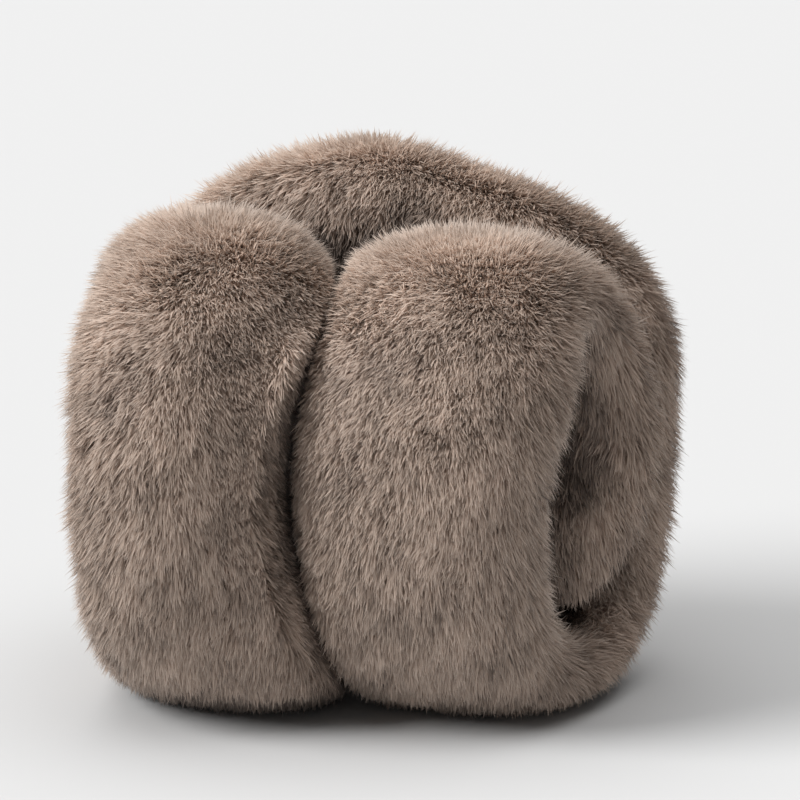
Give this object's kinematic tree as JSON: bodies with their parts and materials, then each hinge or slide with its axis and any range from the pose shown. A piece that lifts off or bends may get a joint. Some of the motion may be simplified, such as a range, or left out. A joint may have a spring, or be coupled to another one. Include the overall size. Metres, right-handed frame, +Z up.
{
  "type": "ear warmer headband",
  "caption": "Plush ear warmer headband: an endless padded tube of long pile, shown folded double and rolled up into a compact bundle.",
  "frame": {"origin": "middle of the bundle's box, on the surface that it stands on", "axes": "+Z up, -Y towards the front of the bundle, where the two rolls show their outer faces, +X towards the right roll"},
  "size_m": [0.1162, 0.0966, 0.1032],
  "materials": {
    "plush_pile": "matt long-pile faux fur, grey-brown with paler tips and darker roots"
  },
  "bodies": {
    "root": {"nape_band": "plush_pile", "right_ear_panel": "plush_pile", "brow_band": "plush_pile", "left_ear_panel": "plush_pile"}
  },
  "joints": []
}
